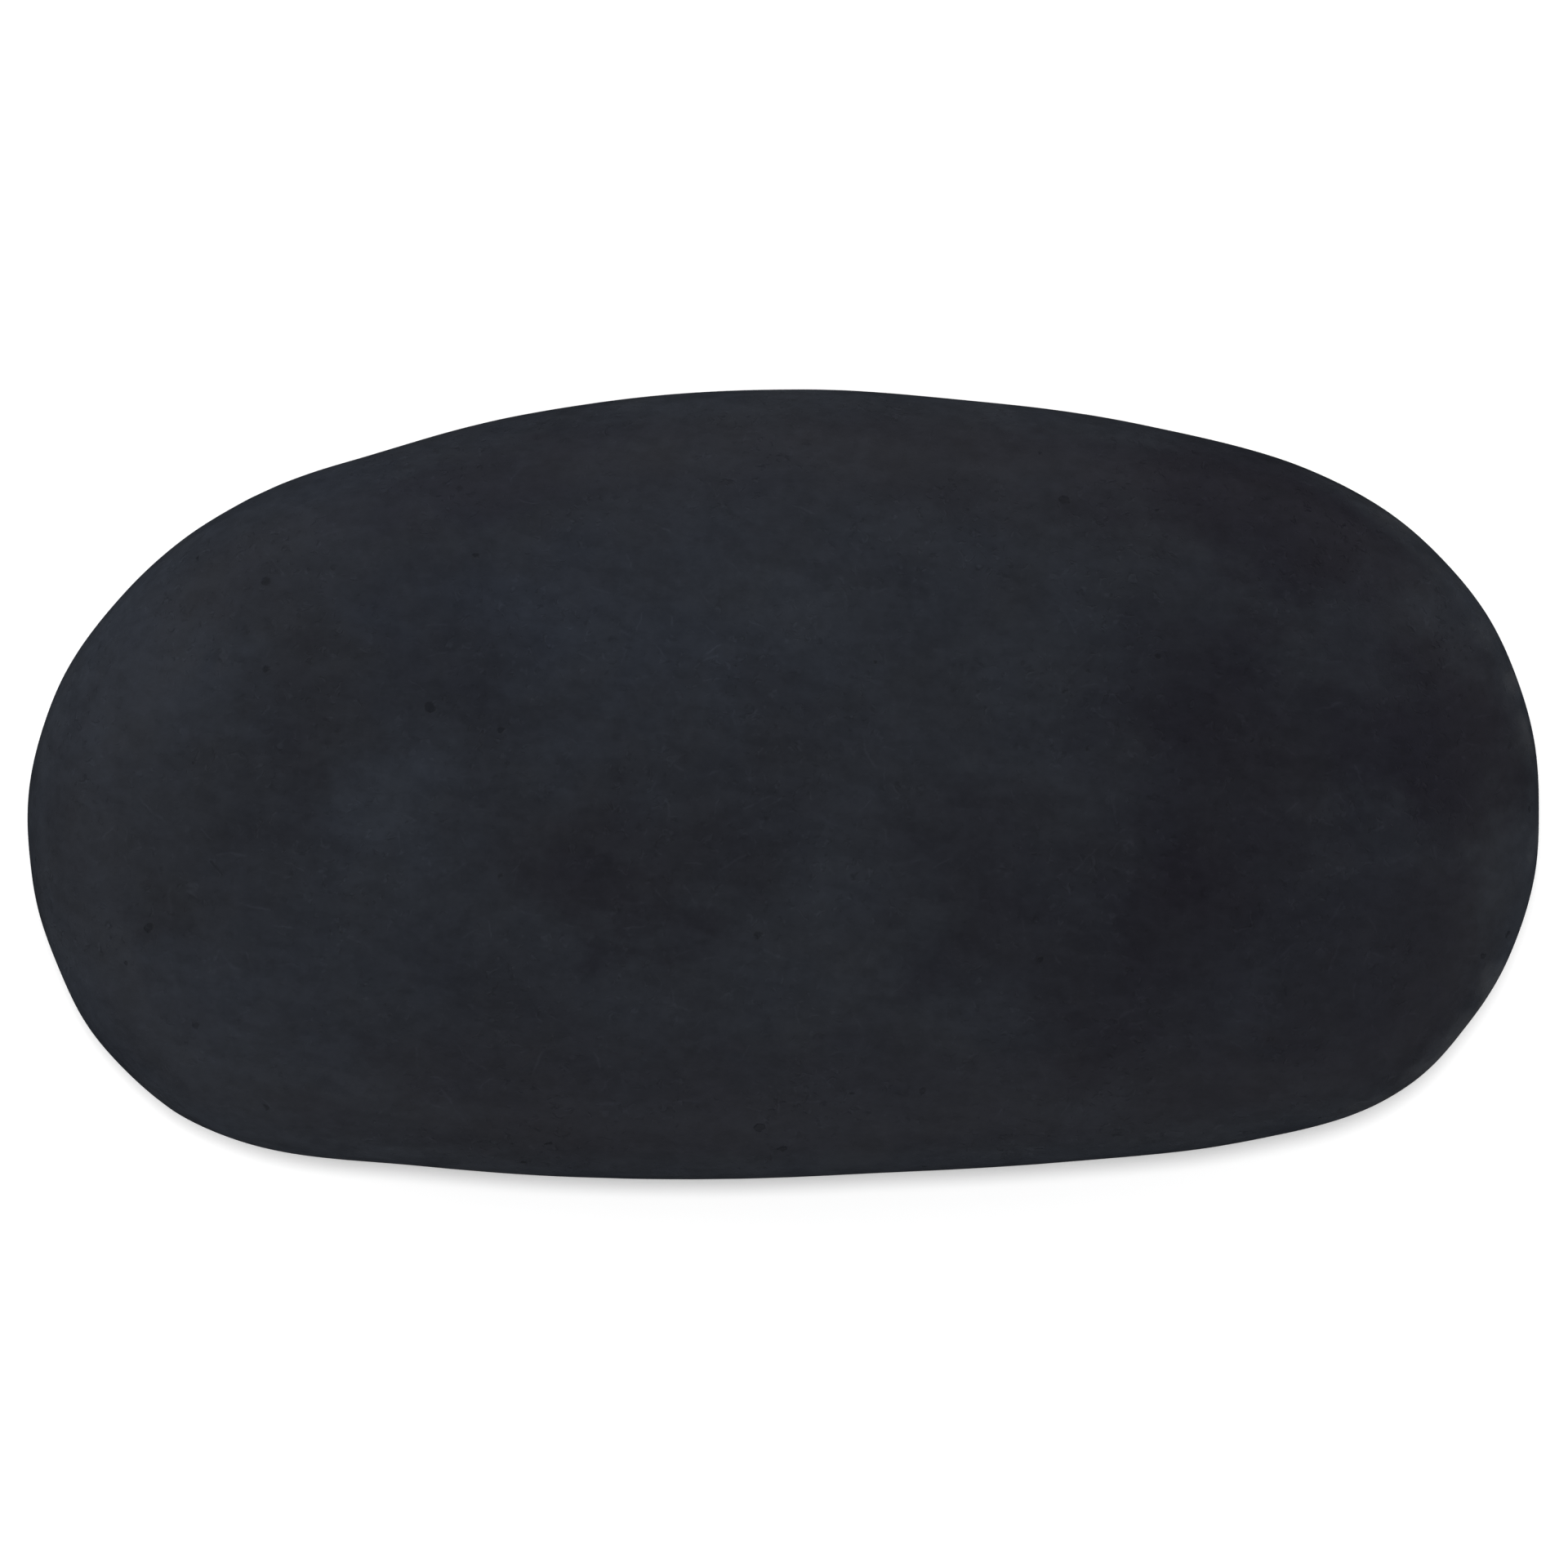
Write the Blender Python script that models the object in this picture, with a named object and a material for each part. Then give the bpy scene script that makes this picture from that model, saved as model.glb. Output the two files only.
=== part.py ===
"""Basalt massage stone: one solid river-worn stone with a long oval outline, a low dome,
a rounded girdle and a flat patch underneath that it rests on.

Metres, +Z up. +X runs along the stone, and the origin is under the middle of its box, on
the surface that it lies on.
"""

from math import pi

import bmesh
import bpy
import numpy as np

# Overall size of the stone.
LENGTH = 0.110
WIDTH = 0.0575
THICKNESS = 0.025

# The girdle is the widest line round the stone. It climbs a little towards +X.
GIRDLE_HEIGHT = 0.0118
GIRDLE_RISE = 0.0009

# The flat patch underneath, and the height over which the belly eases into it.
FOOT_LENGTH = 0.048
FOOT_EASE = 0.0008

# How flat the faces above and below the girdle are, along the stone and across it, and how
# blunt the rim is between them: 2 is an ellipse, and more is flatter or blunter.
DOME_FLATNESS = (3.9, 2.5)
BELLY_FLATNESS = (3.5, 2.5)
RIM_BLUNTNESS = 2.25

# The dome is flatter towards one side of the stone than towards the other.
DOME_SWING = 0.4
FLATTEST_SIDE = 0.8 * pi

# Where the top of the dome lies, off the middle of the stone.
DOME_OFFSET_X = -0.0045
DOME_OFFSET_Y = 0.0018

# Points that the girdle runs through, counterclockwise from +X. Each is a share of half the
# length and of half the width.
GIRDLE_POINTS = (
    (1.000, -0.090), (0.975, 0.245), (0.880, 0.555), (0.725, 0.770), (0.500, 0.900),
    (0.230, 0.975), (-0.010, 1.000), (-0.305, 0.950), (-0.520, 0.850), (-0.710, 0.720),
    (-0.885, 0.455), (-0.985, 0.110), (-0.995, -0.220), (-0.965, -0.430), (-0.885, -0.690),
    (-0.725, -0.895), (-0.480, -0.965), (-0.200, -1.000), (0.110, -0.985), (0.380, -0.955),
    (0.620, -0.900), (0.795, -0.800), (0.905, -0.610), (0.980, -0.340),
)
STEPS_BETWEEN_POINTS = 24

# How many faces the stone has along each axis. Even counts put a point on the very top.
FACES = (36, 20, 10)

STONE_COLOUR = (0.021, 0.023, 0.029, 1.0)
STONE_ROUGHNESS = 0.55


def clear_scene():
    for obj in list(bpy.data.objects):
        bpy.data.objects.remove(obj, do_unlink=True)


def make_collection(name):
    collection = bpy.data.collections.new(name)
    bpy.context.scene.collection.children.link(collection)
    return collection


def stone_material():
    material = bpy.data.materials.new("basalt")
    material.use_nodes = True
    shader = material.node_tree.nodes["Principled BSDF"]
    shader.inputs["Base Color"].default_value = STONE_COLOUR
    shader.inputs["Roughness"].default_value = STONE_ROUGHNESS
    shader.inputs["Metallic"].default_value = 0.0
    return material


def girdle_reach():
    """A smooth closed curve through the girdle points, read as (angle, reach): reach is 1
    on the plain ellipse of the stone's length and width."""
    curve = bpy.data.curves.new("girdle_guide", "CURVE")
    curve.resolution_u = STEPS_BETWEEN_POINTS
    spline = curve.splines.new("BEZIER")
    spline.bezier_points.add(len(GIRDLE_POINTS) - 1)
    for knot, (x, y) in zip(spline.bezier_points, GIRDLE_POINTS):
        knot.co = (x, y, 0)
        knot.handle_left_type = "AUTO"
        knot.handle_right_type = "AUTO"
    spline.use_cyclic_u = True

    guide = bpy.data.objects.new("girdle_guide", curve)
    bpy.context.scene.collection.objects.link(guide)
    evaluated = guide.evaluated_get(bpy.context.evaluated_depsgraph_get())
    points = np.array([vertex.co for vertex in evaluated.to_mesh().vertices])
    evaluated.to_mesh_clear()
    bpy.data.objects.remove(guide)
    return np.arctan2(points[:, 1], points[:, 0]), np.hypot(points[:, 0], points[:, 1])


def gridded_box():
    """A closed box from -1 to 1 with a grid of quads on every side."""
    bm = bmesh.new()
    bmesh.ops.create_cube(bm, size=2)
    for axis, count in enumerate(FACES):
        along = [
            edge for edge in bm.edges
            if abs(edge.verts[0].co[axis] - edge.verts[1].co[axis]) > 1
        ]
        bmesh.ops.subdivide_edges(bm, edges=along, cuts=count - 1, use_grid_fill=True)
    return bm


def eased_floor(height):
    """Lifts what lies below the foot plane onto it, with a round transition."""
    bend = (height + FOOT_EASE) ** 2 / (4 * FOOT_EASE)
    return np.where(height > FOOT_EASE, height, np.where(height < -FOOT_EASE, 0, bend))


def flatness_at(angle, flatness):
    along, across = flatness
    return across + (along - across) * np.cos(angle) ** 2


def stone_points(directions):
    """The point of the stone's surface in each direction from the middle of its girdle."""
    angle = np.arctan2(directions[:, 1], directions[:, 0])
    level = np.hypot(directions[:, 0], directions[:, 1])
    steep = np.abs(directions[:, 2])
    up = directions[:, 2] > 0

    dome = flatness_at(angle, DOME_FLATNESS) + DOME_SWING * np.cos(angle - FLATTEST_SIDE)
    flatness = np.where(up, dome, flatness_at(angle, BELLY_FLATNESS))
    size = (level**flatness + steep**flatness) ** (1 / flatness)
    out = level / size * np.interp(angle, *girdle_reach(), period=2 * pi)
    rise = (steep / size) ** (flatness / RIM_BLUNTNESS)

    lean = np.where(up, rise**RIM_BLUNTNESS, 0)
    x = LENGTH / 2 * out * np.cos(angle) + DOME_OFFSET_X * lean
    y = WIDTH / 2 * out * np.sin(angle) + DOME_OFFSET_Y * lean

    girdle = GIRDLE_HEIGHT + GIRDLE_RISE * np.cos(angle)
    foot_share = (FOOT_LENGTH / LENGTH) ** BELLY_FLATNESS[0]
    foot_rise = (1 - foot_share) ** (1 / RIM_BLUNTNESS)
    belly_depth = (GIRDLE_HEIGHT + FOOT_EASE) / foot_rise
    pole = np.where(up, THICKNESS, GIRDLE_HEIGHT - belly_depth)
    z = eased_floor(girdle + (pole - girdle) * rise)
    return np.stack([x, y, z], axis=1)


def fitted(points):
    """The same points, brought to the exact overall size and onto the origin."""
    low = points.min(axis=0)
    high = points.max(axis=0)
    size = np.array([LENGTH, WIDTH, THICKNESS])
    base = np.array([-LENGTH / 2, -WIDTH / 2, 0])
    return base + (points - low) * size / (high - low)


def basalt_stone(collection):
    bm = gridded_box()
    directions = np.array([vertex.co.normalized() for vertex in bm.verts])
    for vertex, point in zip(bm.verts, fitted(stone_points(directions))):
        vertex.co = point
    bmesh.ops.recalc_face_normals(bm, faces=bm.faces)
    mesh = bpy.data.meshes.new("basalt_stone")
    bm.to_mesh(mesh)
    bm.free()
    mesh.shade_smooth()
    mesh.materials.append(stone_material())
    collection.objects.link(bpy.data.objects.new("basalt_stone", mesh))


clear_scene()
basalt_stone(make_collection("basalt_massage_stone"))
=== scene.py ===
from math import pi, radians

import bpy
import numpy as np
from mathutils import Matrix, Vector
from mathutils.kdtree import KDTree


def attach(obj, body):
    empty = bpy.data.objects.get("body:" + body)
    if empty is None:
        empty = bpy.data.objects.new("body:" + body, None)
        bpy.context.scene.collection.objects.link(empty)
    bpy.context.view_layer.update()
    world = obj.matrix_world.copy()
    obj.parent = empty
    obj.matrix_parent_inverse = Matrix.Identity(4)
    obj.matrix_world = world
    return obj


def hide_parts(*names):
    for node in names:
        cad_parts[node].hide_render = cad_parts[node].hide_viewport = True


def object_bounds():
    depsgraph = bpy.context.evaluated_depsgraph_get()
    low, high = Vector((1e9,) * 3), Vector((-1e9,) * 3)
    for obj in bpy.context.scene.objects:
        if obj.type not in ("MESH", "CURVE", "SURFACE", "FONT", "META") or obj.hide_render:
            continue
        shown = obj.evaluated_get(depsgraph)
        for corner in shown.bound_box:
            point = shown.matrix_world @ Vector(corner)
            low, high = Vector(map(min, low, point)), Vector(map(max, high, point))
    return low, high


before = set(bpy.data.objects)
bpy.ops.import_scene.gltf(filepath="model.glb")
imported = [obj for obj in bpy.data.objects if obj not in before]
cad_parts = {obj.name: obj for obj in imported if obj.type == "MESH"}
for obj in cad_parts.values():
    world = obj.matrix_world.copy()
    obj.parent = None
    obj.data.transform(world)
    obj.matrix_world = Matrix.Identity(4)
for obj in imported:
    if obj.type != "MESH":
        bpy.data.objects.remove(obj)        # one body, "root", and one node, "basalt_stone"
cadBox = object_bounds()
boxLow, boxHigh = np.array(cadBox[0]), np.array(cadBox[1])
millimetre = 0.001
print("stone frame loaded,", len(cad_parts), "node")


# everything is deselected before an operator runs, and one object made active
def workOn(obj):
    bpy.ops.object.select_all(action="DESELECT")
    obj.select_set(True)
    bpy.context.view_layer.objects.active = obj


def applied(obj, kind, **settings):
    modifier = obj.modifiers.new(kind.lower(), kind)
    for name, value in settings.items():
        setattr(modifier, name, value)
    workOn(obj)
    bpy.ops.object.modifier_apply(modifier=modifier.name)


def pointsOf(obj):
    flat = np.empty(len(obj.data.vertices) * 3, np.float32)
    obj.data.vertices.foreach_get("co", flat)
    return flat.reshape(-1, 3).astype(float)


def normalsOf(obj):
    flat = np.empty(len(obj.data.vertices) * 3, np.float32)
    obj.data.vertex_normals.foreach_get("vector", flat)
    return flat.reshape(-1, 3).astype(float)


def putPoints(obj, points):
    obj.data.vertices.foreach_set("co", points.astype(np.float32).ravel())
    obj.data.update()


def smoothStep(values, low, high):
    share = np.clip((values - low) / (high - low), 0, 1)
    return share * share * (3 - 2 * share)


# the stone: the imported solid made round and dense, then worn by waves, dents and pits
stoneShape = {
    "node": "basalt_stone",
    "mergeWithin": 1e-6,
    "quadAngles": (50, 70),  # degrees by which paired triangles may bend and skew
    "roundingLevels": 3,
    "waves": [  # name, size and height in mm, depth
        ("swell", 34, 0.90, 1), ("tumbling", 11, 0.20, 2), ("skin", 2.4, 0.012, 1),
    ],
    "faceSlope": (0.1, 0.75),  # upright part of the normal where the face's wear starts and is full
    "rimShare": 0.3,  # how much of the waves reaches the girdle, which keeps its outline
    "footClear": 0.35,  # mm above the foot where the wear begins
    "mostTriangles": 192000,
}

stoneWear = {
    "seed": 41,
    "dents": (46, 1.6, 3.8, 0.020),  # count, smallest and largest radius in mm, depth as a share of it
    "pits": (110, 0.55, 1.3, 0.12),
    "longest": 2.2,  # how stretched a mark can be
}


def copyOfNode(name, newName):
    stone = bpy.data.objects.new(newName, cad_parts[name].data.copy())
    bpy.context.scene.collection.objects.link(stone)
    stone.data.materials.clear()
    return stone


def mergeTriangles(stone):
    bend, skew = stoneShape["quadAngles"]
    workOn(stone)
    bpy.ops.object.mode_set(mode="EDIT")
    bpy.ops.mesh.select_all(action="SELECT")
    bpy.ops.mesh.remove_doubles(threshold=stoneShape["mergeWithin"])
    bpy.ops.mesh.tris_convert_to_quads(face_threshold=radians(bend), shape_threshold=radians(skew))
    bpy.ops.mesh.normals_make_consistent(inside=False)
    bpy.ops.object.mode_set(mode="OBJECT")


def fitToBox(stone):
    points = pointsOf(stone)
    low, high = points.min(axis=0), points.max(axis=0)
    putPoints(stone, boxLow + (points - low) * (boxHigh - boxLow) / (high - low))


# full wear on the two faces, little at the girdle, none on the foot
def markWornPart(stone):
    points, normals = pointsOf(stone), normalsOf(stone)
    face = smoothStep(np.abs(normals[:, 2]), *stoneShape["faceSlope"])
    offFoot = smoothStep(points[:, 2], 0, stoneShape["footClear"] * millimetre)
    share = (stoneShape["rimShare"] + (1 - stoneShape["rimShare"]) * face) * offFoot
    group = stone.vertex_groups.new(name="worn")
    for index, weight in enumerate(share):
        group.add([index], float(weight), "REPLACE")
    return share


def addWaves(stone):
    for name, size, height, depth in stoneShape["waves"]:
        clouds = bpy.data.textures.new(name, "CLOUDS")
        clouds.noise_scale = size * millimetre
        clouds.noise_depth = depth
        applied(stone, "DISPLACE", texture=clouds, texture_coords="LOCAL", mid_level=0.5,
                strength=height * millimetre, vertex_group="worn")


# each mark is a stretched bowl with a soft lip, pressed in along the normals
def addMarks(stone, share):
    points, normals = pointsOf(stone), normalsOf(stone)
    tree = KDTree(len(points))
    for index, point in enumerate(points):
        tree.insert(point, index)
    tree.balance()
    chance = np.random.default_rng(stoneWear["seed"])
    moved = points.copy()
    for count, smallest, largest, depth in (stoneWear["dents"], stoneWear["pits"]):
        for _ in range(count):
            centre = int(chance.integers(len(points)))
            radius = millimetre * smallest * (largest / smallest) ** chance.random()
            stretch = chance.uniform(1, stoneWear["longest"])
            along = np.cross(normals[centre], chance.normal(size=3))
            along /= np.linalg.norm(along)
            near = [found[1] for found in tree.find_range(points[centre], radius * stretch)]
            offset = points[near] - points[centre]
            lengthwise = offset @ along
            reach = np.sqrt(np.sum(offset**2, axis=1) - lengthwise**2 * (1 - 1 / stretch**2))
            bowl = np.clip(1 - (reach / radius) ** 2, 0, 1) ** 2
            moved[near] -= normals[near] * (bowl * depth * radius * share[near])[:, None]
    putPoints(stone, moved)


def buildStone():
    stone = copyOfNode(stoneShape["node"], "tumbledStone")
    mergeTriangles(stone)
    levels = stoneShape["roundingLevels"]
    applied(stone, "SUBSURF", levels=levels, render_levels=levels)
    fitToBox(stone)
    share = markWornPart(stone)
    addWaves(stone)
    addMarks(stone, share)
    stone.vertex_groups.clear()
    triangles = sum(len(face.vertices) - 2 for face in stone.data.polygons)
    applied(stone, "DECIMATE", ratio=min(1, stoneShape["mostTriangles"] / triangles))
    fitToBox(stone)
    workOn(stone)
    bpy.ops.object.shade_smooth()
    print("stone shaped:", triangles, "triangles, thinned to", len(stone.data.polygons), "faces")
    return stone


# small helpers for the node trees
class nodeDesk:
    def __init__(self, tree):
        self.tree = tree

    def add(self, kind, **settings):
        node = self.tree.nodes.new(kind)
        for name, value in settings.items():
            setattr(node, name, value)
        return node

    def feed(self, socket, value):
        if isinstance(value, bpy.types.NodeSocket):
            self.tree.links.new(value, socket)
        else:
            socket.default_value = value

    def maths(self, operation, *values):
        node = self.add("ShaderNodeMath", operation=operation)
        for socket, value in zip(node.inputs, values):
            self.feed(socket, value)
        return node.outputs[0]

    def vector(self, operation, *values, scale=None):
        node = self.add("ShaderNodeVectorMath", operation=operation)
        for socket, value in zip(node.inputs, values):
            self.feed(socket, value)
        if scale is not None:
            self.feed(node.inputs["Scale"], scale)
        return node.outputs["Value" if operation in ("LENGTH", "DOT_PRODUCT") else "Vector"]

    def spread(self, value, fromLow, fromHigh, toLow=0.0, toHigh=1.0, smooth=True):
        node = self.add("ShaderNodeMapRange", interpolation_type="SMOOTHSTEP" if smooth else "LINEAR")
        for socket, given in zip(node.inputs, (value, fromLow, fromHigh, toLow, toHigh)):
            self.feed(socket, given)
        return node.outputs[0]

    # size in mm
    def noise(self, vector, size, detail, roughness=0.5, distortion=0.0):
        node = self.add("ShaderNodeTexNoise")
        self.feed(node.inputs["Vector"], vector)
        self.feed(node.inputs["Scale"], 1 / (size * millimetre))
        self.feed(node.inputs["Detail"], detail)
        self.feed(node.inputs["Roughness"], roughness)
        self.feed(node.inputs["Distortion"], distortion)
        return node

    # length and width in mm, turn in degrees
    def stretchedNoise(self, vector, length, width, turn, detail, roughness):
        mapping = self.add("ShaderNodeMapping", vector_type="TEXTURE")
        self.feed(mapping.inputs["Vector"], vector)
        mapping.inputs["Rotation"].default_value = (0, 0, radians(turn))
        mapping.inputs["Scale"].default_value = (length * millimetre, width * millimetre, width * millimetre)
        return self.noise(mapping.outputs[0], 1 / millimetre, detail, roughness)

    # a noise's value either side of nothing
    def swing(self, noise, amount):
        return self.maths("MULTIPLY", self.maths("SUBTRACT", noise.outputs[0], 0.5), amount)

    # places moved about by a noise's colours, at most so many mm each way
    def stray(self, vector, most, size, detail, roughness=0.5):
        noise = self.noise(vector, size, detail, roughness)
        centred = self.vector("SUBTRACT", noise.outputs["Color"], (0.5, 0.5, 0.5))
        return self.vector("SCALE", centred, scale=2 * most * millimetre)

    def blend(self, share, first, second, mode="MIX"):
        node = self.add("ShaderNodeMix", data_type="RGBA", blend_type=mode)
        self.feed(node.inputs[0], share)
        self.feed(node.inputs[6], first)
        self.feed(node.inputs[7], second)
        return node.outputs[2]


# the basalt's clouds of lighter and darker, bluer and warmer rock; besides the rock's mottling they paint
# light on the left end and shade right of the middle
rockAndPaintedLightClouds = {
    "start": (0.5, 0.4),  # lightness, blueness
    "height": 0.8,  # the clouds' centres, as a share of the stone's height
    "core": 0.75,  # how far in a cloud is at its full strength
    "strays": [(9, 17, 2, 0.5), (5.5, 3.6, 4, 0.65)],  # most stray in mm, size in mm, detail, roughness
    "clouds": [  # x, y, half length, half width in mm, turn in degrees, lightness, blueness
        (-51, 9, 13, 24, 25, 0.23, 0.2), (-40, 15, 16, 14, 30, 0.12, 0.1),
        (-10, 10, 17, 10, 10, 0.20, 0.1), (2, 20, 24, 8, -4, 0.06, 0.1),
        (-28, -1, 9, 8, 0, 0.26, 0.1), (15, 12, 9, 6, 0, 0.14, 0.0),
        (3, 10, 9, 8, 0, 0.16, 0.0), (-30, -9, 14, 8, 0, 0.12, 0.0),
        (-51, -11, 8, 10, 0, 0.18, 0.1), (1, -10, 12, 8, 10, 0.14, -0.1),
        (-38, -20, 22, 12, -25, 0.20, 0.1), (51, 12, 7, 9, 20, 0.10, 0.1),
        (54, -9, 6, 8, 0, 0.22, 0.1), (-22, 15, 24, 12, -20, 0.04, 0.3),
        (47, 1, 12, 9, -10, -0.40, 0.2), (31, 0, 15, 11, 60, -0.32, 0.0),
        (27, -12, 15, 10, 40, -0.30, 0.0), (34, 21, 17, 9, -22, -0.44, 0.2),
        (27, 8, 13, 9, 0, -0.20, 0.1), (-11, -5, 13, 8, 10, -0.16, -0.1),
        (-3, 5, 6, 8, 0, -0.06, 0.0), (14, -5, 12, 8, 0, -0.14, 0.0),
        (13, -12, 10, 6, 0, -0.18, 0.0), (-35, 5, 8, 10, 0, -0.12, -0.1),
        (-44, -3, 8, 11, 0, -0.08, -0.2), (-22, 10, 10, 7, 30, -0.06, 0.2),
        (-20, -22, 16, 6, 0, -0.04, 0.0), (41, -14, 12, 10, 0, -0.22, 0.1),
        (-22, 23, 20, 6, 14, -0.10, 0.3), (15, 25, 12, 5, -6, -0.06, 0.0),
        (-13, -10, 7, 5, 0, -0.18, 0.0), (-33, -25, 8, 5, -15, -0.16, 0.0),
        (34, -21, 9, 5, 20, -0.14, 0.0), (42, -1, 7, 6, 0, -0.16, 0.1),
        (32, -5, 6, 5, 0, 0.10, 0.0),
    ],
}


# partly mottling, partly painted: the lighter left end is painted light and the dark clouds right of the
# middle are painted shade
def cloudyRockAndPaintedLight(desk, place):
    strayed = place
    for most, size, detail, roughness in rockAndPaintedLightClouds["strays"]:
        strayed = desk.vector("ADD", strayed, desk.stray(place, most, size, detail, roughness))
    middle = boxHigh[2] * rockAndPaintedLightClouds["height"]
    lightness, blueness = rockAndPaintedLightClouds["start"]
    for x, y, halfLength, halfWidth, turn, light, blue in rockAndPaintedLightClouds["clouds"]:
        cloud = desk.add("ShaderNodeMapping", vector_type="TEXTURE")
        desk.feed(cloud.inputs["Vector"], strayed)
        cloud.inputs["Location"].default_value = (x * millimetre, y * millimetre, middle)
        cloud.inputs["Rotation"].default_value = (0, 0, radians(turn))
        cloud.inputs["Scale"].default_value = (halfLength * millimetre, halfWidth * millimetre, boxHigh[2])
        ball = desk.add("ShaderNodeTexGradient", gradient_type="SPHERICAL")
        desk.feed(ball.inputs["Vector"], cloud.outputs[0])
        filled = desk.spread(ball.outputs["Fac"], 0.0, rockAndPaintedLightClouds["core"])
        lightness = desk.maths("MULTIPLY_ADD", filled, light, lightness)
        blueness = desk.maths("MULTIPLY_ADD", filled, blue, blueness)
    return lightness, blueness


# winding flecks, the contour lines of a twisted noise: a dark groove with a pale lip beside it, the lip a
# painted highlight on the groove's edge
fleckPattern = {
    "size": 1.0,  # mm
    "twist": 0.6,
    "breaks": (0.6, 0.52, 0.64),  # size in mm, noise values where a line breaks off and where it is whole
    "crowds": (7, 0.40, 0.62, 0.25, 1.0),  # size in mm, noise values, faintest and strongest
    "lines": [(0.50, 0.055), (0.585, 0.045)],  # noise value and half width: the groove, the lip with its painted highlight
}


def flecksAndHighlightLips(desk, place):
    winding = desk.noise(place, fleckPattern["size"], detail=2, distortion=fleckPattern["twist"]).outputs[0]
    size, *values = fleckPattern["breaks"]
    breaks = desk.spread(desk.noise(place, size, detail=1).outputs[0], *values)
    size, *values = fleckPattern["crowds"]
    crowds = desk.spread(desk.noise(place, size, detail=3).outputs[0], *values)
    breaks = desk.maths("MULTIPLY", breaks, crowds)
    lines = []
    for level, halfWidth in fleckPattern["lines"]:
        away = desk.maths("ABSOLUTE", desk.maths("SUBTRACT", winding, level))
        lines.append(desk.maths("MULTIPLY", desk.spread(away, halfWidth, 0.0), breaks))
    return lines


# light scuffs: one short stroke in each cell of a Voronoi pattern, turned at random
scuffPattern = {
    "layers": [  # mm between scuffs, half width in mm, how far the pattern is shifted, in metres
        (3.6, 0.085, (0.3, 0.21, 0)), (2.2, 0.060, (0.8, 0.56, 0)),
    ],
    "wobble": (0.15, 0.5),  # how far a stroke strays and how often it bends, as shares of the spacing
    "ends": (0.42, 0.2),  # where a stroke has faded and where it starts to, as shares of the spacing
    "drawn": (0.4, 0.9),  # a cell's chance number where its scuff starts to show and is full
    "crowds": (12, 0.42, 0.60, 0.15, 1.0),  # size in mm, noise values, faintest and strongest
    "rubbedOff": (0.7, 0.35, 0.6, 0.3, 1.0),  # likewise
    "faceSlope": (0.55, 0.85),  # scuffs keep to the two faces
}


def scuffLayer(desk, place, spacing, halfWidth, shift):
    most, size = (share * spacing for share in scuffPattern["wobble"])
    shifted = desk.vector("ADD", place, desk.stray(place, most, size, detail=2))
    shifted = desk.vector("ADD", shifted, shift)
    perCell = 1 / (spacing * millimetre)
    cells = desk.add("ShaderNodeTexVoronoi", voronoi_dimensions="2D")
    desk.feed(cells.inputs["Vector"], shifted)
    desk.feed(cells.inputs["Scale"], perCell)
    offset = desk.vector("SUBTRACT", shifted, cells.outputs["Position"])
    offset = desk.vector("MULTIPLY", offset, (perCell, perCell, 0))
    chances = desk.add("ShaderNodeSeparateColor")
    desk.feed(chances.inputs[0], cells.outputs["Color"])
    angle = desk.maths("MULTIPLY", chances.outputs[0], 2 * pi)
    across = desk.add("ShaderNodeCombineXYZ")
    desk.feed(across.inputs[0], desk.maths("COSINE", angle))
    desk.feed(across.inputs[1], desk.maths("SINE", angle))
    away = desk.maths("ABSOLUTE", desk.vector("DOT_PRODUCT", offset, across.outputs[0]))
    line = desk.spread(away, 2 * halfWidth / spacing, 0.0)
    ends = desk.spread(desk.vector("LENGTH", offset), *scuffPattern["ends"])
    size, *values = scuffPattern["crowds"]
    crowds = desk.spread(desk.noise(place, size, detail=2).outputs[0], *values)
    strength = desk.maths("MULTIPLY", desk.spread(chances.outputs[1], *scuffPattern["drawn"]), crowds)
    size, *values = scuffPattern["rubbedOff"]
    patchy = desk.spread(desk.noise(place, size, detail=1).outputs[0], *values)
    stroke = desk.maths("MULTIPLY", line, ends)
    return desk.maths("MULTIPLY", stroke, desk.maths("MULTIPLY", strength, patchy))


def lightScuffs(desk, place, slope):
    coarse, fine = [scuffLayer(desk, place, *layer) for layer in scuffPattern["layers"]]
    facing = desk.spread(desk.maths("ABSOLUTE", slope), *scuffPattern["faceSlope"])
    return desk.maths("MULTIPLY", desk.maths("MAXIMUM", coarse, fine), facing)


# pinholes: small round pits in some cells, each of its own size
pinholePattern = {
    "spacing": 1.7,  # mm
    "share": 0.10,  # of the cells that have a pinhole
    "largest": 0.26,  # radius, as a share of the spacing
    "edge": (0.02, -0.06),  # from the radius, where a pinhole starts and is full
    "ragged": (0.35, 0.6, 2),  # most stray and its size in mm, detail
}


def pinholes(desk, place):
    ragged = desk.stray(place, *pinholePattern["ragged"])
    cells = desk.add("ShaderNodeTexVoronoi")
    desk.feed(cells.inputs["Vector"], desk.vector("ADD", place, ragged))
    desk.feed(cells.inputs["Scale"], 1 / (pinholePattern["spacing"] * millimetre))
    chances = desk.add("ShaderNodeSeparateColor")
    desk.feed(chances.inputs[0], cells.outputs["Color"])
    first, largest = 1 - pinholePattern["share"], pinholePattern["largest"]
    radius = desk.spread(chances.outputs[0], first, 1.0, 0.0, largest, smooth=False)
    return desk.spread(desk.maths("SUBTRACT", cells.outputs["Distance"], radius), *pinholePattern["edge"])


# pale dust in the band above the girdle, thick at the right end and thin elsewhere
rimDust = {
    "colour": (0.060, 0.062, 0.066, 1),
    "lowerEdge": (8.5, 11.5),  # mm above the table where the dust starts and is full
    "upperEdge": (17.2, 13.5),  # and where it ends and is still full
    "ragged": (1.8, 4, 0.7, 5),  # size in mm, detail, roughness, swing in mm
    "rightEnd": (36, 52),  # mm from the middle where thin dust starts to thicken and is full
    "thin": 0.10,
    "patches": (7, 0.42, 0.62),  # size in mm, noise values
    "cover": 0.35,  # how much of the rock the thickest dust hides
    "addedRoughness": 0.25,
}


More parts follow.
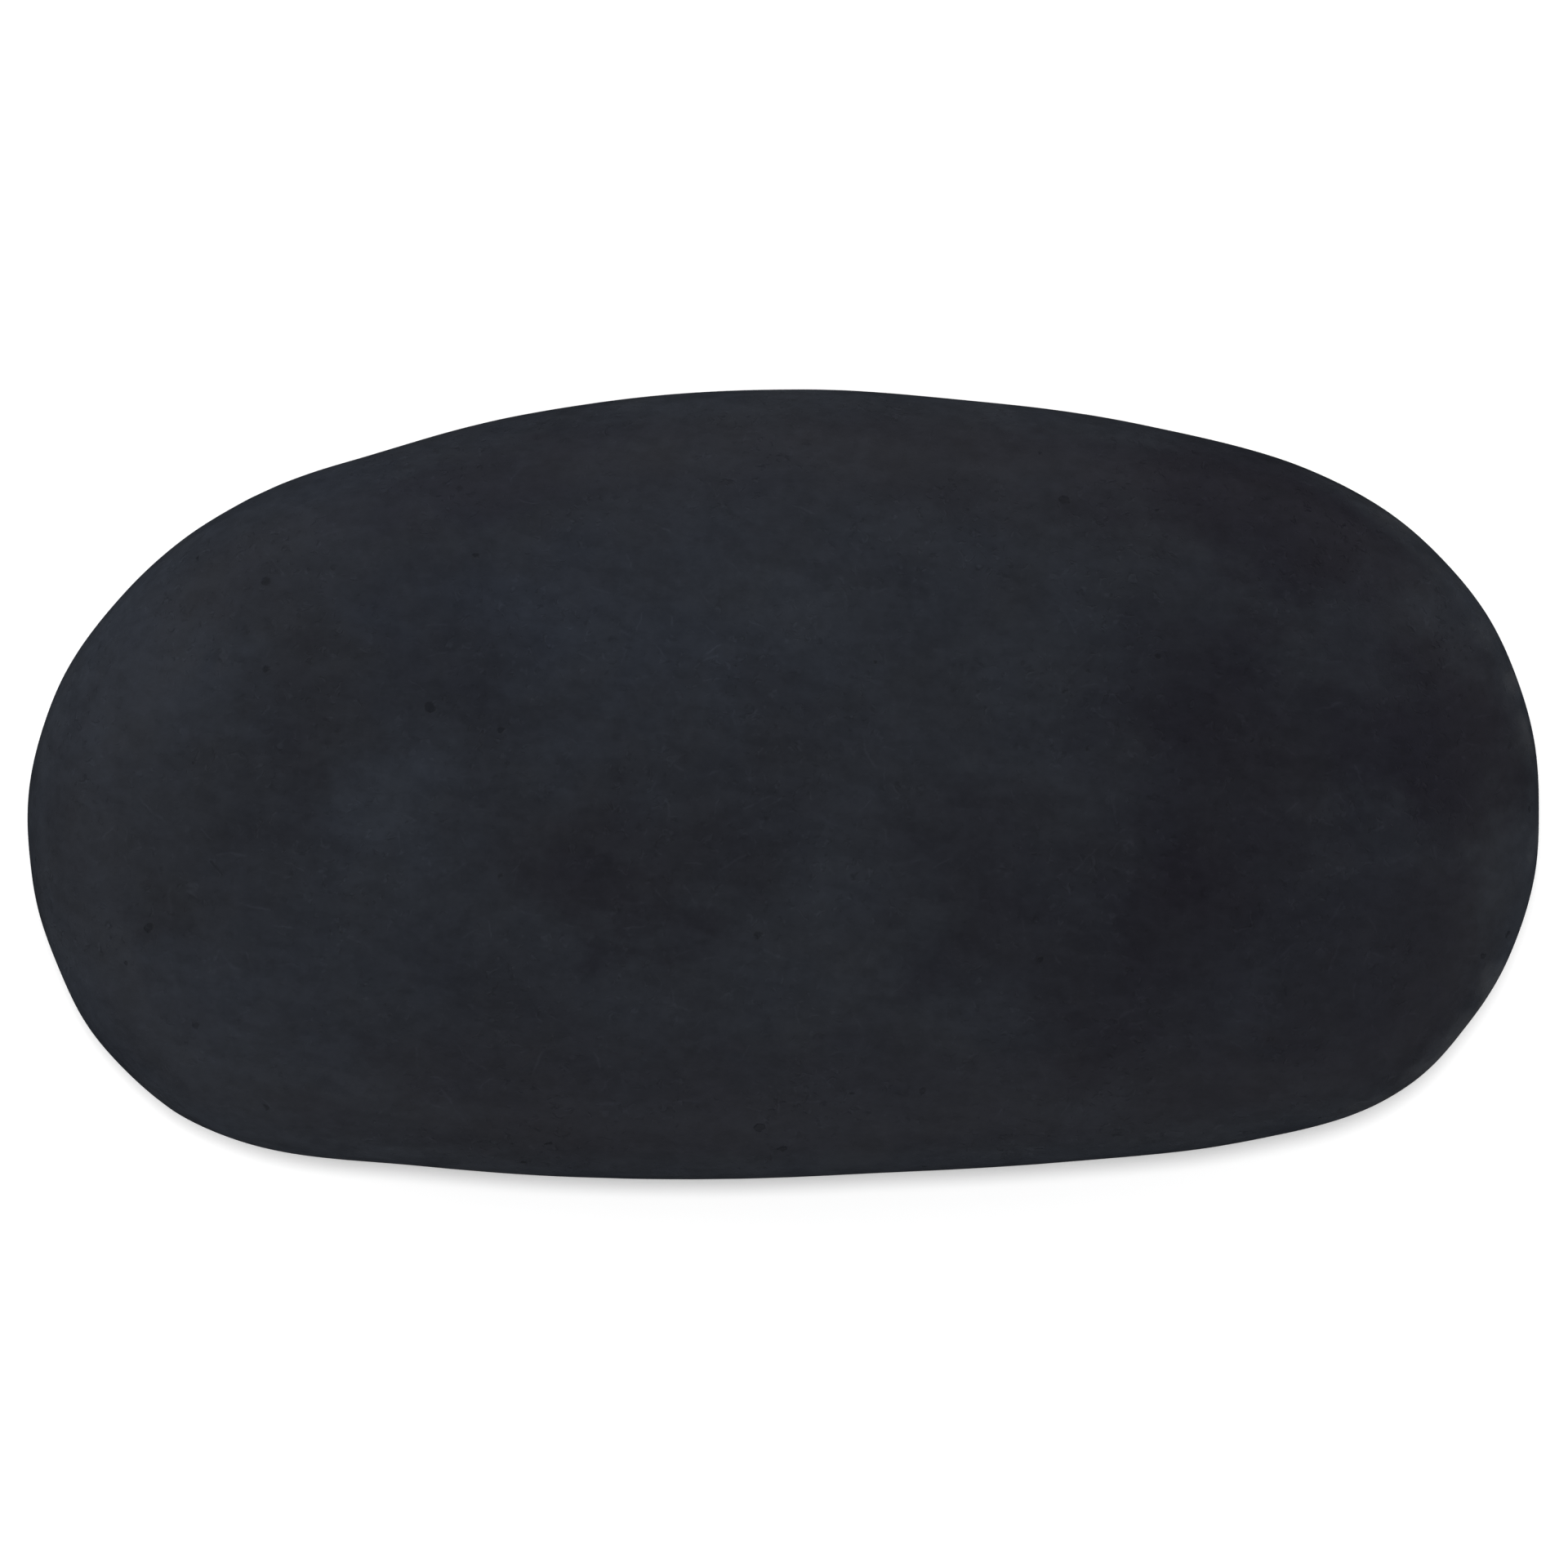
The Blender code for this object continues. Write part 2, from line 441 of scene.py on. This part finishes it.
def dustyRim(desk, place):
    axes = desk.add("ShaderNodeSeparateXYZ")
    desk.feed(axes.inputs[0], place)
    size, detail, roughness, swing = rimDust["ragged"]
    ragged = desk.swing(desk.noise(place, size, detail, roughness), swing * millimetre)
    height = desk.maths("ADD", axes.outputs[2], ragged)
    lower = desk.spread(height, *(edge * millimetre for edge in rimDust["lowerEdge"]))
    upper = desk.spread(height, *(edge * millimetre for edge in rimDust["upperEdge"]))
    band = desk.maths("MULTIPLY", lower, upper)
    starts, full = rimDust["rightEnd"]
    rightEnd = desk.spread(axes.outputs[0], starts * millimetre, full * millimetre, rimDust["thin"], 1.0)
    size, *values = rimDust["patches"]
    patches = desk.spread(desk.noise(place, size, detail=3).outputs[0], *values)
    return desk.maths("MULTIPLY", desk.maths("MULTIPLY", band, rightEnd), patches)


# the basalt itself; a slope is the upright part of the normal, 1 facing up and 0 on the girdle
basaltFinish = {
    "tones": [  # lightness, colour: purple black, slate, blue slate
        (0.00, (0.0108, 0.0106, 0.0146, 1)), (0.30, (0.0136, 0.0145, 0.0189, 1)),
        (0.50, (0.0166, 0.0186, 0.0236, 1)), (0.75, (0.0195, 0.0225, 0.0288, 1)),
        (1.00, (0.0242, 0.0285, 0.0364, 1)),
    ],
    "warmTint": (1.035, 1.0, 0.955, 1),
    "blueTint": (0.97, 1.0, 1.075, 1),
    "blueDrift": (5, 4, 0.9),  # size in mm, detail, swing in blueness
    "streaks": (16, 2.6, -12, 4, 0.6),  # mm long and wide, turn in degrees, detail, roughness
    "streakSwing": 0.26,  # in lightness
    "patches": (9, 6, 0.68),  # size in mm, detail, roughness
    "patchSwing": 0.26,
    "rimSlopes": ((0.72, 0.12), (-0.7, -0.1)),
    "rimPaintedLight": 0.30,  # how much lighter the rim is painted, as painted light against the shade that falls off there
    "shoulderSlopes": ((0.975, 0.88), (0.45, 0.70)),
    "shoulderPaintedLight": -0.14,  # and how much darker the shoulder inside it is painted, as painted shade against its sheen
    "undersideSlopes": (0.1, -0.5),
    "undersidePatches": (13, 5, 0.6),
    "undersideSwing": 1.5,
    "fineGrain": [  # size in mm, detail, roughness, swing in shade, relief
        (1.9, 3, 0.60, 0.19, 0.2), (0.85, 2, 0.60, 0.36, 0.4), (0.30, 2, 0.70, 0.12, 0.5),
    ],
    "rubbed": (3.0, 1.5, -6, 5, 0.62),  # patches with clear edges: mm long and wide, turn, detail, roughness
    "rubbedEdge": (0.44, 0.56),
    "rubbedSwing": 0.09,  # in shade
    "marks": {  # shade, relief
        # the lips' lighter shade is a painted highlight beside each fleck
        "flecks": (-0.17, -0.7), "highlightLips": (0.26, 0.3), "holes": (-0.30, -1.6), "scuffs": (0.30, -0.4),
    },
    "roughness": (0.3, 0.7, 0.40, 0.58),  # values of the patches' noise, and the roughness at each
    "specular": 0.085,
    "relief": (0.5, 0.08),  # strength, and height in mm
}


def streakedLightnessAndPaintedLight(desk, lightness, slope, place, patches):
    streaks = desk.stretchedNoise(place, *basaltFinish["streaks"])
    lightness = desk.maths("ADD", lightness, desk.swing(streaks, basaltFinish["streakSwing"]))
    lightness = desk.maths("ADD", lightness, desk.swing(patches, basaltFinish["patchSwing"]))
    # a band of painted light on the rim and a band of painted shade on the shoulder inside it, both set by
    # the slope
    for part in ("rim", "shoulder"):
        outer, inner = basaltFinish[part + "Slopes"]
        band = desk.maths("MULTIPLY", desk.spread(slope, *outer), desk.spread(slope, *inner))
        lightness = desk.maths("MULTIPLY_ADD", band, basaltFinish[part + "PaintedLight"], lightness)
    beneath = desk.noise(place, *basaltFinish["undersidePatches"])
    beneath = desk.swing(beneath, basaltFinish["undersideSwing"])
    share = desk.spread(slope, *basaltFinish["undersideSlopes"])
    return desk.maths("MULTIPLY_ADD", share, beneath, lightness)


def rockColour(desk, lightness, blueness):
    tones = desk.add("ShaderNodeValToRGB")
    desk.feed(tones.inputs[0], lightness)
    ramp = tones.color_ramp.elements
    while len(ramp) < len(basaltFinish["tones"]):
        ramp.new(0.5)
    for element, (position, colour) in zip(ramp, basaltFinish["tones"]):
        element.position = position
        element.color = colour
    share = desk.spread(blueness, 0.0, 1.0, smooth=False)
    tint = desk.blend(share, basaltFinish["warmTint"], basaltFinish["blueTint"])
    return desk.blend(1.0, tones.outputs[0], tint, mode="MULTIPLY")


# the shade that the fine grain and the marks give, and their height
def shadeAndRelief(desk, place, slope):
    shade, relief = 1.0, 0.0
    for size, detail, roughness, tone, height in basaltFinish["fineGrain"]:
        grain = desk.noise(place, size, detail, roughness)
        shade = desk.maths("ADD", shade, desk.swing(grain, tone))
        relief = desk.maths("MULTIPLY_ADD", grain.outputs[0], height, relief)
    rubbed = desk.stretchedNoise(place, *basaltFinish["rubbed"]).outputs[0]
    rubbed = desk.maths("SUBTRACT", desk.spread(rubbed, *basaltFinish["rubbedEdge"]), 0.5)
    shade = desk.maths("MULTIPLY_ADD", rubbed, basaltFinish["rubbedSwing"], shade)
    flecks, highlightLips = flecksAndHighlightLips(desk, place)
    masks = {
        "flecks": flecks,
        "highlightLips": highlightLips,
        "holes": pinholes(desk, place),
        "scuffs": lightScuffs(desk, place, slope),
    }
    for name, (tone, height) in basaltFinish["marks"].items():
        shade = desk.maths("MULTIPLY_ADD", masks[name], tone, shade)
        relief = desk.maths("MULTIPLY_ADD", masks[name], height, relief)
    return shade, relief


def makeBasalt():
    material = bpy.data.materials.new("tumbledBasalt")
    material.use_nodes = True
    desk = nodeDesk(material.node_tree)
    shader = material.node_tree.nodes["Principled BSDF"]
    coordinates = desk.add("ShaderNodeTexCoord")
    place = coordinates.outputs["Object"]
    upright = desk.add("ShaderNodeSeparateXYZ")
    desk.feed(upright.inputs[0], coordinates.outputs["Normal"])
    slope = upright.outputs[2]

    patches = desk.noise(place, *basaltFinish["patches"])
    lightness, blueness = cloudyRockAndPaintedLight(desk, place)
    lightness = streakedLightnessAndPaintedLight(desk, lightness, slope, place, patches)
    size, detail, swing = basaltFinish["blueDrift"]
    blueness = desk.maths("ADD", blueness, desk.swing(desk.noise(place, size, detail), swing))
    shade, relief = shadeAndRelief(desk, place, slope)
    dust = dustyRim(desk, place)
    colour = desk.vector("SCALE", rockColour(desk, lightness, blueness), scale=shade)
    colour = desk.blend(desk.maths("MULTIPLY", dust, rimDust["cover"]), colour, rimDust["colour"])
    desk.feed(shader.inputs["Base Color"], colour)

    roughness = desk.spread(patches.outputs[0], *basaltFinish["roughness"])
    roughness = desk.maths("MULTIPLY_ADD", dust, rimDust["addedRoughness"], roughness)
    desk.feed(shader.inputs["Roughness"], roughness)
    shader.inputs["Specular IOR Level"].default_value = basaltFinish["specular"]

    strength, depth = basaltFinish["relief"]
    bump = desk.add("ShaderNodeBump")
    bump.inputs["Strength"].default_value = strength
    bump.inputs["Distance"].default_value = depth * millimetre
    desk.feed(bump.inputs["Height"], relief)
    desk.feed(shader.inputs["Normal"], bump.outputs[0])
    print("basalt mixed:", len(material.node_tree.nodes), "nodes")
    return material


# the table, the light and the camera
studio = {
    "tableSize": 12,
    "tableColour": (0.93, 0.93, 0.93, 1),
    "paperRoughness": 0.9,
    "tableGlow": 0.26,  # the table is a light table
    "tentRadius": 4,
    "tentHeight": 3,
    "tentSides": 96,
    "tentColour": (0, 0, 0, 1),  # all its light is its own glow
    "tentGlow": 1.0,
    "airStrength": 0.30,
    "keyStrength": 1.41,
    "keySpread": 7.5,  # degrees across
    "keyTilt": 4.2,  # degrees from overhead, towards the back
    "lamps": [  # name, place, size, power, whether the stone's sheen shows it
        ("backStrip", (0.1, 1.1, 0.20), 0.5, 2.6, False),
        ("leftSheen", (-0.75, 0.35, 0.70), 0.45, 1.2, True),
    ],
}

viewpoint = {
    "lens": 600,  # long, so there is nearly no perspective
    "place": (0.00008, 0.00003, 1.9137),
    "farthest": 20,
}


def paperFinish(name, colour, glow):
    paint = bpy.data.materials.new(name)
    paint.use_nodes = True
    shader = paint.node_tree.nodes["Principled BSDF"]
    shader.inputs["Base Color"].default_value = colour
    shader.inputs["Roughness"].default_value = studio["paperRoughness"]
    shader.inputs["Specular IOR Level"].default_value = 0.0
    shader.inputs["Emission Color"].default_value = (1, 1, 1, 1)
    shader.inputs["Emission Strength"].default_value = glow
    return paint


# a glowing table inside a tall round tent; only the tent shows in the stone's sheen, so its rim stays dark
def setTable():
    bpy.ops.object.select_all(action="DESELECT")
    bpy.ops.mesh.primitive_plane_add(size=studio["tableSize"], location=(0, 0, 0))
    table = bpy.context.active_object
    table.name = "paleTable"
    table.data.materials.append(paperFinish("palePaper", studio["tableColour"], studio["tableGlow"]))
    bpy.ops.object.select_all(action="DESELECT")
    sides, radius, height = studio["tentSides"], studio["tentRadius"], studio["tentHeight"]
    bpy.ops.mesh.primitive_cylinder_add(vertices=sides, radius=radius, depth=height, end_fill_type="NOTHING",
                                        location=(0, 0, height / 2))
    tent = bpy.context.active_object
    tent.name = "lightTent"
    tent.data.materials.append(paperFinish("tentCloth", studio["tentColour"], studio["tentGlow"]))
    table.visible_glossy = False


def softLamp(name, place, size, power, inSheen):
    bpy.ops.object.light_add(type="AREA", location=place)
    lamp = bpy.context.active_object
    lamp.name = name
    lamp.data.shape = "DISK"
    lamp.data.size = size
    lamp.data.energy = power
    lamp.rotation_euler = (-Vector(place)).to_track_quat("-Z", "Y").to_euler()
    lamp.visible_camera = False
    lamp.visible_glossy = inSheen


def lightStudio():
    world = bpy.data.worlds.new("studioAir")
    bpy.context.scene.world = world
    world.use_nodes = True
    air = world.node_tree.nodes["Background"]
    air.inputs["Color"].default_value = (1, 1, 1, 1)
    air.inputs["Strength"].default_value = studio["airStrength"]
    world.cycles_visibility.glossy = False
    bpy.ops.object.light_add(type="SUN", rotation=(radians(-studio["keyTilt"]), 0, 0))
    key = bpy.context.active_object
    key.name = "overheadKey"
    key.data.energy = studio["keyStrength"]
    key.data.angle = radians(studio["keySpread"])
    key.visible_glossy = False
    for lamp in studio["lamps"]:
        softLamp(*lamp)
    bpy.context.scene.view_settings.view_transform = "Standard"
    print("studio lit by the tent, the key and", len(studio["lamps"]), "lamps")


def setCamera():
    bpy.ops.object.camera_add(location=viewpoint["place"], rotation=(0, 0, 0))
    camera = bpy.context.active_object
    camera.name = "overheadCamera"
    camera.data.lens = viewpoint["lens"]
    camera.data.clip_end = viewpoint["farthest"]
    bpy.context.scene.camera = camera


setCamera()
stone = buildStone()
stone.data.materials.append(makeBasalt())
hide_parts("basalt_stone")
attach(stone, "root")
setTable()
lightStudio()
